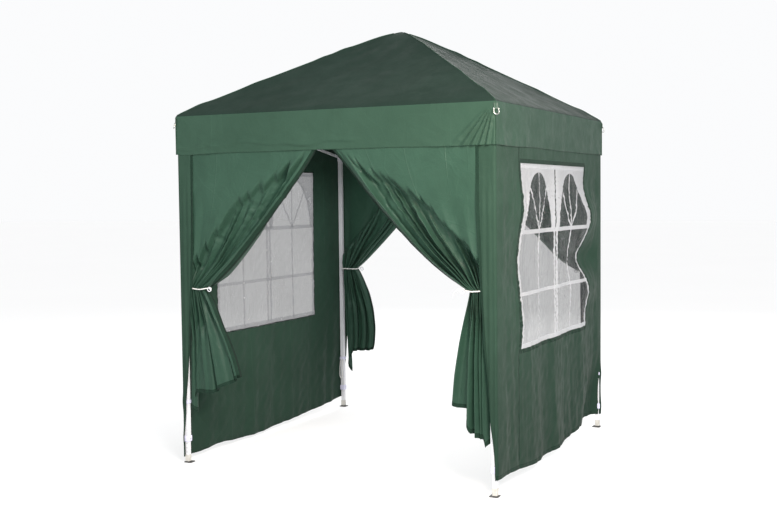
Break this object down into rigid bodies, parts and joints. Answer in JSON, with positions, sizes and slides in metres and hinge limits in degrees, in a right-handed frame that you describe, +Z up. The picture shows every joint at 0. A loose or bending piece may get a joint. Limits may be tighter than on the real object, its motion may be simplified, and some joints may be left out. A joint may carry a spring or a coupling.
{
  "type": "pop up tent",
  "caption": "Square pop-up tent: a pyramid canopy over a folding scissor frame on telescopic legs, with window walls at the sides and tied-back door curtains front and back.",
  "frame": {"origin": "on the ground, midway between the four feet", "axes": "+Z up; the front door faces -Y; the window walls face +X and -X"},
  "size_m": [2, 2, 2.602],
  "materials": {
    "canopy_cloth": "coated polyester, dull sheen",
    "wall_cloth": "coated polyester, soft sheen",
    "frame_steel": "white powder coat",
    "joint_plastic": "moulded nylon",
    "foot_plastic": "dark painted plate"
  },
  "bodies": {
    "frame_top": {"hub_upper": "joint_plastic", "mast": "frame_steel", "canopy": "canopy_cloth"},
    "arm_high_front": {"arm_bar_from_hub_top_front": "frame_steel"},
    "arm_low_front": {"arm_bar_from_hub_base_front": "frame_steel"},
    "low_joint_front": {"lower_joint_front": "joint_plastic"},
    "top_joint_front": {"upper_joint_front": "joint_plastic", "door_front": "wall_cloth"},
    "arm_high_right": {"arm_bar_from_hub_top_right": "frame_steel"},
    "arm_low_right": {"arm_bar_from_hub_base_right": "frame_steel"},
    "low_joint_right": {"lower_joint_right": "joint_plastic"},
    "top_joint_right": {"upper_joint_right": "joint_plastic", "wall_right": "wall_cloth"},
    "arm_high_back": {"arm_bar_from_hub_top_back": "frame_steel"},
    "arm_low_back": {"arm_bar_from_hub_base_back": "frame_steel"},
    "low_joint_back": {"lower_joint_back": "joint_plastic"},
    "top_joint_back": {"upper_joint_back": "joint_plastic", "door_back": "wall_cloth"},
    "arm_high_left": {"arm_bar_from_hub_top_left": "frame_steel"},
    "arm_low_left": {"arm_bar_from_hub_base_left": "frame_steel"},
    "low_joint_left": {"lower_joint_left": "joint_plastic"},
    "top_joint_left": {"upper_joint_left": "joint_plastic", "wall_left": "wall_cloth"},
    "hub_base": {"hub_lower": "joint_plastic"},
    "edge_rising_front_right": {"edge_bar_to_bracket_front_right": "frame_steel"},
    "edge_falling_front_right": {"edge_bar_to_slider_front_right": "frame_steel"},
    "leg_front_right": {"outer_leg_front_right": "frame_steel", "top_bracket_front_right": "joint_plastic"},
    "slider_front_right": {"slider_front_right": "joint_plastic"},
    "edge_rising_front_left": {"edge_bar_to_bracket_front_left": "frame_steel"},
    "edge_falling_front_left": {"edge_bar_to_slider_front_left": "frame_steel"},
    "leg_front_left": {"outer_leg_front_left": "frame_steel", "top_bracket_front_left": "joint_plastic"},
    "slider_front_left": {"slider_front_left": "joint_plastic"},
    "edge_rising_right_back": {"edge_bar_to_bracket_right_back": "frame_steel"},
    "edge_falling_right_back": {"edge_bar_to_slider_right_back": "frame_steel"},
    "edge_rising_right_front": {"edge_bar_to_bracket_right_front": "frame_steel"},
    "edge_falling_right_front": {"edge_bar_to_slider_right_front": "frame_steel"},
    "edge_rising_back_left": {"edge_bar_to_bracket_back_left": "frame_steel"},
    "edge_falling_back_left": {"edge_bar_to_slider_back_left": "frame_steel"},
    "leg_back_left": {"outer_leg_back_left": "frame_steel", "top_bracket_back_left": "joint_plastic"},
    "slider_back_left": {"slider_back_left": "joint_plastic"},
    "edge_rising_back_right": {"edge_bar_to_bracket_back_right": "frame_steel"},
    "edge_falling_back_right": {"edge_bar_to_slider_back_right": "frame_steel"},
    "leg_back_right": {"outer_leg_back_right": "frame_steel", "top_bracket_back_right": "joint_plastic"},
    "slider_back_right": {"slider_back_right": "joint_plastic"},
    "edge_rising_left_front": {"edge_bar_to_bracket_left_front": "frame_steel"},
    "edge_falling_left_front": {"edge_bar_to_slider_left_front": "frame_steel"},
    "edge_rising_left_back": {"edge_bar_to_bracket_left_back": "frame_steel"},
    "edge_falling_left_back": {"edge_bar_to_slider_left_back": "frame_steel"},
    "lower_leg_front_right": {"inner_leg_front_right": "frame_steel", "foot_front_right": "foot_plastic"},
    "lower_leg_front_left": {"inner_leg_front_left": "frame_steel", "foot_front_left": "foot_plastic"},
    "lower_leg_back_left": {"inner_leg_back_left": "frame_steel", "foot_back_left": "foot_plastic"},
    "lower_leg_back_right": {"inner_leg_back_right": "frame_steel", "foot_back_right": "foot_plastic"}
  },
  "joints": [
    {"name": "fold", "type": "hinge", "parent": "frame_top", "child": "arm_high_front", "pos_m": [0, -0.024, 2.02], "axis": [1, 0, 0], "range_deg": [0, 76.5], "deforming": ["canopy", "wall_left", "wall_right", "door_front", "door_back"]},
    {"name": "arm_low_joint_front", "type": "hinge", "parent": "arm_high_front", "child": "low_joint_front", "pos_m": [0, -0.944, 1.87], "axis": [1, 0, 0], "range_deg": [-76.5, 0]},
    {"name": "arm_cross_front", "type": "hinge", "parent": "arm_high_front", "child": "arm_low_front", "pos_m": [0, -0.484, 1.945], "axis": [1, 0, 0], "range_deg": [-153, 0]},
    {"name": "arm_top_joint_front", "type": "hinge", "parent": "arm_low_front", "child": "top_joint_front", "pos_m": [0, -0.944, 2.02], "axis": [1, 0, 0], "range_deg": [0, 76.5]},
    {"name": "fold_arm_right", "type": "hinge", "parent": "frame_top", "child": "arm_high_right", "pos_m": [0.024, 0, 2.02], "axis": [0, 1, 0], "range_deg": [0, 76.5]},
    {"name": "arm_low_joint_right", "type": "hinge", "parent": "arm_high_right", "child": "low_joint_right", "pos_m": [0.944, 0, 1.87], "axis": [0, 1, 0], "range_deg": [-76.5, 0]},
    {"name": "arm_cross_right", "type": "hinge", "parent": "arm_high_right", "child": "arm_low_right", "pos_m": [0.484, 0, 1.945], "axis": [0, 1, 0], "range_deg": [-153, 0]},
    {"name": "arm_top_joint_right", "type": "hinge", "parent": "arm_low_right", "child": "top_joint_right", "pos_m": [0.944, 0, 2.02], "axis": [0, 1, 0], "range_deg": [0, 76.5]},
    {"name": "fold_arm_back", "type": "hinge", "parent": "frame_top", "child": "arm_high_back", "pos_m": [0, 0.024, 2.02], "axis": [-1, 0, 0], "range_deg": [0, 76.5]},
    {"name": "arm_low_joint_back", "type": "hinge", "parent": "arm_high_back", "child": "low_joint_back", "pos_m": [0, 0.944, 1.87], "axis": [-1, 0, 0], "range_deg": [-76.5, 0]},
    {"name": "arm_cross_back", "type": "hinge", "parent": "arm_high_back", "child": "arm_low_back", "pos_m": [0, 0.484, 1.945], "axis": [-1, 0, 0], "range_deg": [-153, 0]},
    {"name": "arm_top_joint_back", "type": "hinge", "parent": "arm_low_back", "child": "top_joint_back", "pos_m": [0, 0.944, 2.02], "axis": [-1, 0, 0], "range_deg": [0, 76.5]},
    {"name": "fold_arm_left", "type": "hinge", "parent": "frame_top", "child": "arm_high_left", "pos_m": [-0.024, 0, 2.02], "axis": [0, -1, 0], "range_deg": [0, 76.5]},
    {"name": "arm_low_joint_left", "type": "hinge", "parent": "arm_high_left", "child": "low_joint_left", "pos_m": [-0.944, 0, 1.87], "axis": [0, -1, 0], "range_deg": [-76.5, 0]},
    {"name": "arm_cross_left", "type": "hinge", "parent": "arm_high_left", "child": "arm_low_left", "pos_m": [-0.484, 0, 1.945], "axis": [0, -1, 0], "range_deg": [-153, 0]},
    {"name": "arm_top_joint_left", "type": "hinge", "parent": "arm_low_left", "child": "top_joint_left", "pos_m": [-0.944, 0, 2.02], "axis": [0, -1, 0], "range_deg": [0, 76.5]},
    {"name": "hub_base_joint", "type": "hinge", "parent": "arm_low_front", "child": "hub_base", "pos_m": [0, -0.024, 1.87], "axis": [1, 0, 0], "range_deg": [0, 76.5]},
    {"name": "edge_low_joint_front_right", "type": "hinge", "parent": "low_joint_front", "child": "edge_rising_front_right", "pos_m": [0.024, -0.978, 1.87], "axis": [0, 1, 0], "range_deg": [-76.5, 0]},
    {"name": "edge_cross_front_right", "type": "hinge", "parent": "edge_rising_front_right", "child": "edge_falling_front_right", "pos_m": [0.484, -0.978, 1.945], "axis": [0, 1, 0], "range_deg": [0, 153]},
    {"name": "bracket_joint_front_right", "type": "hinge", "parent": "edge_rising_front_right", "child": "leg_front_right", "pos_m": [0.944, -0.978, 2.02], "axis": [0, 1, 0], "range_deg": [0, 76.5]},
    {"name": "slider_joint_front_right", "type": "hinge", "parent": "edge_falling_front_right", "child": "slider_front_right", "pos_m": [0.944, -0.978, 1.87], "axis": [0, 1, 0], "range_deg": [-76.5, 0]},
    {"name": "edge_low_joint_front_left", "type": "hinge", "parent": "low_joint_front", "child": "edge_rising_front_left", "pos_m": [-0.024, -0.978, 1.87], "axis": [0, -1, 0], "range_deg": [-76.5, 0]},
    {"name": "edge_cross_front_left", "type": "hinge", "parent": "edge_rising_front_left", "child": "edge_falling_front_left", "pos_m": [-0.484, -0.978, 1.945], "axis": [0, -1, 0], "range_deg": [0, 153]},
    {"name": "bracket_joint_front_left", "type": "hinge", "parent": "edge_rising_front_left", "child": "leg_front_left", "pos_m": [-0.944, -0.978, 2.02], "axis": [0, -1, 0], "range_deg": [0, 76.5]},
    {"name": "slider_joint_front_left", "type": "hinge", "parent": "edge_falling_front_left", "child": "slider_front_left", "pos_m": [-0.944, -0.978, 1.87], "axis": [0, -1, 0], "range_deg": [-76.5, 0]},
    {"name": "edge_low_joint_right_back", "type": "hinge", "parent": "low_joint_right", "child": "edge_rising_right_back", "pos_m": [0.978, 0.024, 1.87], "axis": [-1, 0, 0], "range_deg": [-76.5, 0]},
    {"name": "edge_cross_right_back", "type": "hinge", "parent": "edge_rising_right_back", "child": "edge_falling_right_back", "pos_m": [0.978, 0.484, 1.945], "axis": [-1, 0, 0], "range_deg": [0, 153]},
    {"name": "edge_low_joint_right_front", "type": "hinge", "parent": "low_joint_right", "child": "edge_rising_right_front", "pos_m": [0.978, -0.024, 1.87], "axis": [1, 0, 0], "range_deg": [-76.5, 0]},
    {"name": "edge_cross_right_front", "type": "hinge", "parent": "edge_rising_right_front", "child": "edge_falling_right_front", "pos_m": [0.978, -0.484, 1.945], "axis": [1, 0, 0], "range_deg": [0, 153]},
    {"name": "edge_low_joint_back_left", "type": "hinge", "parent": "low_joint_back", "child": "edge_rising_back_left", "pos_m": [-0.024, 0.978, 1.87], "axis": [0, -1, 0], "range_deg": [-76.5, 0]},
    {"name": "edge_cross_back_left", "type": "hinge", "parent": "edge_rising_back_left", "child": "edge_falling_back_left", "pos_m": [-0.484, 0.978, 1.945], "axis": [0, -1, 0], "range_deg": [0, 153]},
    {"name": "bracket_joint_back_left", "type": "hinge", "parent": "edge_rising_back_left", "child": "leg_back_left", "pos_m": [-0.944, 0.978, 2.02], "axis": [0, -1, 0], "range_deg": [0, 76.5]},
    {"name": "slider_joint_back_left", "type": "hinge", "parent": "edge_falling_back_left", "child": "slider_back_left", "pos_m": [-0.944, 0.978, 1.87], "axis": [0, -1, 0], "range_deg": [-76.5, 0]},
    {"name": "edge_low_joint_back_right", "type": "hinge", "parent": "low_joint_back", "child": "edge_rising_back_right", "pos_m": [0.024, 0.978, 1.87], "axis": [0, 1, 0], "range_deg": [-76.5, 0]},
    {"name": "edge_cross_back_right", "type": "hinge", "parent": "edge_rising_back_right", "child": "edge_falling_back_right", "pos_m": [0.484, 0.978, 1.945], "axis": [0, 1, 0], "range_deg": [0, 153]},
    {"name": "bracket_joint_back_right", "type": "hinge", "parent": "edge_rising_back_right", "child": "leg_back_right", "pos_m": [0.944, 0.978, 2.02], "axis": [0, 1, 0], "range_deg": [0, 76.5]},
    {"name": "slider_joint_back_right", "type": "hinge", "parent": "edge_falling_back_right", "child": "slider_back_right", "pos_m": [0.944, 0.978, 1.87], "axis": [0, 1, 0], "range_deg": [-76.5, 0]},
    {"name": "edge_low_joint_left_front", "type": "hinge", "parent": "low_joint_left", "child": "edge_rising_left_front", "pos_m": [-0.978, -0.024, 1.87], "axis": [1, 0, 0], "range_deg": [-76.5, 0]},
    {"name": "edge_cross_left_front", "type": "hinge", "parent": "edge_rising_left_front", "child": "edge_falling_left_front", "pos_m": [-0.978, -0.484, 1.945], "axis": [1, 0, 0], "range_deg": [0, 153]},
    {"name": "edge_low_joint_left_back", "type": "hinge", "parent": "low_joint_left", "child": "edge_rising_left_back", "pos_m": [-0.978, 0.024, 1.87], "axis": [-1, 0, 0], "range_deg": [-76.5, 0]},
    {"name": "edge_cross_left_back", "type": "hinge", "parent": "edge_rising_left_back", "child": "edge_falling_left_back", "pos_m": [-0.978, 0.484, 1.945], "axis": [-1, 0, 0], "range_deg": [0, 153]},
    {"name": "leg_height_front_right", "type": "slide", "parent": "leg_front_right", "child": "lower_leg_front_right", "axis": [0, 0, 1], "range_m": [0, 0.075]},
    {"name": "leg_height_front_left", "type": "slide", "parent": "leg_front_left", "child": "lower_leg_front_left", "axis": [0, 0, 1], "range_m": [0, 0.075]},
    {"name": "leg_height_back_left", "type": "slide", "parent": "leg_back_left", "child": "lower_leg_back_left", "axis": [0, 0, 1], "range_m": [0, 0.075]},
    {"name": "leg_height_back_right", "type": "slide", "parent": "leg_back_right", "child": "lower_leg_back_right", "axis": [0, 0, 1], "range_m": [0, 0.075]}
  ],
  "couplings": [
    {"joint": "arm_low_joint_front", "follows": "fold", "ratio": -1},
    {"joint": "arm_cross_front", "follows": "fold", "ratio": -2},
    {"joint": "arm_top_joint_front", "follows": "fold", "ratio": 1},
    {"joint": "fold_arm_right", "follows": "fold", "ratio": 1},
    {"joint": "arm_low_joint_right", "follows": "fold", "ratio": -1},
    {"joint": "arm_cross_right", "follows": "fold", "ratio": -2},
    {"joint": "arm_top_joint_right", "follows": "fold", "ratio": 1},
    {"joint": "fold_arm_back", "follows": "fold", "ratio": 1},
    {"joint": "arm_low_joint_back", "follows": "fold", "ratio": -1},
    {"joint": "arm_cross_back", "follows": "fold", "ratio": -2},
    {"joint": "arm_top_joint_back", "follows": "fold", "ratio": 1},
    {"joint": "fold_arm_left", "follows": "fold", "ratio": 1},
    {"joint": "arm_low_joint_left", "follows": "fold", "ratio": -1},
    {"joint": "arm_cross_left", "follows": "fold", "ratio": -2},
    {"joint": "arm_top_joint_left", "follows": "fold", "ratio": 1},
    {"joint": "hub_base_joint", "follows": "fold", "ratio": 1},
    {"joint": "edge_low_joint_front_right", "follows": "fold", "ratio": -1},
    {"joint": "edge_cross_front_right", "follows": "fold", "ratio": 2},
    {"joint": "bracket_joint_front_right", "follows": "fold", "ratio": 1},
    {"joint": "slider_joint_front_right", "follows": "fold", "ratio": -1},
    {"joint": "edge_low_joint_front_left", "follows": "fold", "ratio": -1},
    {"joint": "edge_cross_front_left", "follows": "fold", "ratio": 2},
    {"joint": "bracket_joint_front_left", "follows": "fold", "ratio": 1},
    {"joint": "slider_joint_front_left", "follows": "fold", "ratio": -1},
    {"joint": "edge_low_joint_right_back", "follows": "fold", "ratio": -1},
    {"joint": "edge_cross_right_back", "follows": "fold", "ratio": 2},
    {"joint": "edge_low_joint_right_front", "follows": "fold", "ratio": -1},
    {"joint": "edge_cross_right_front", "follows": "fold", "ratio": 2},
    {"joint": "edge_low_joint_back_left", "follows": "fold", "ratio": -1},
    {"joint": "edge_cross_back_left", "follows": "fold", "ratio": 2},
    {"joint": "bracket_joint_back_left", "follows": "fold", "ratio": 1},
    {"joint": "slider_joint_back_left", "follows": "fold", "ratio": -1},
    {"joint": "edge_low_joint_back_right", "follows": "fold", "ratio": -1},
    {"joint": "edge_cross_back_right", "follows": "fold", "ratio": 2},
    {"joint": "bracket_joint_back_right", "follows": "fold", "ratio": 1},
    {"joint": "slider_joint_back_right", "follows": "fold", "ratio": -1},
    {"joint": "edge_low_joint_left_front", "follows": "fold", "ratio": -1},
    {"joint": "edge_cross_left_front", "follows": "fold", "ratio": 2},
    {"joint": "edge_low_joint_left_back", "follows": "fold", "ratio": -1},
    {"joint": "edge_cross_left_back", "follows": "fold", "ratio": 2}
  ]
}
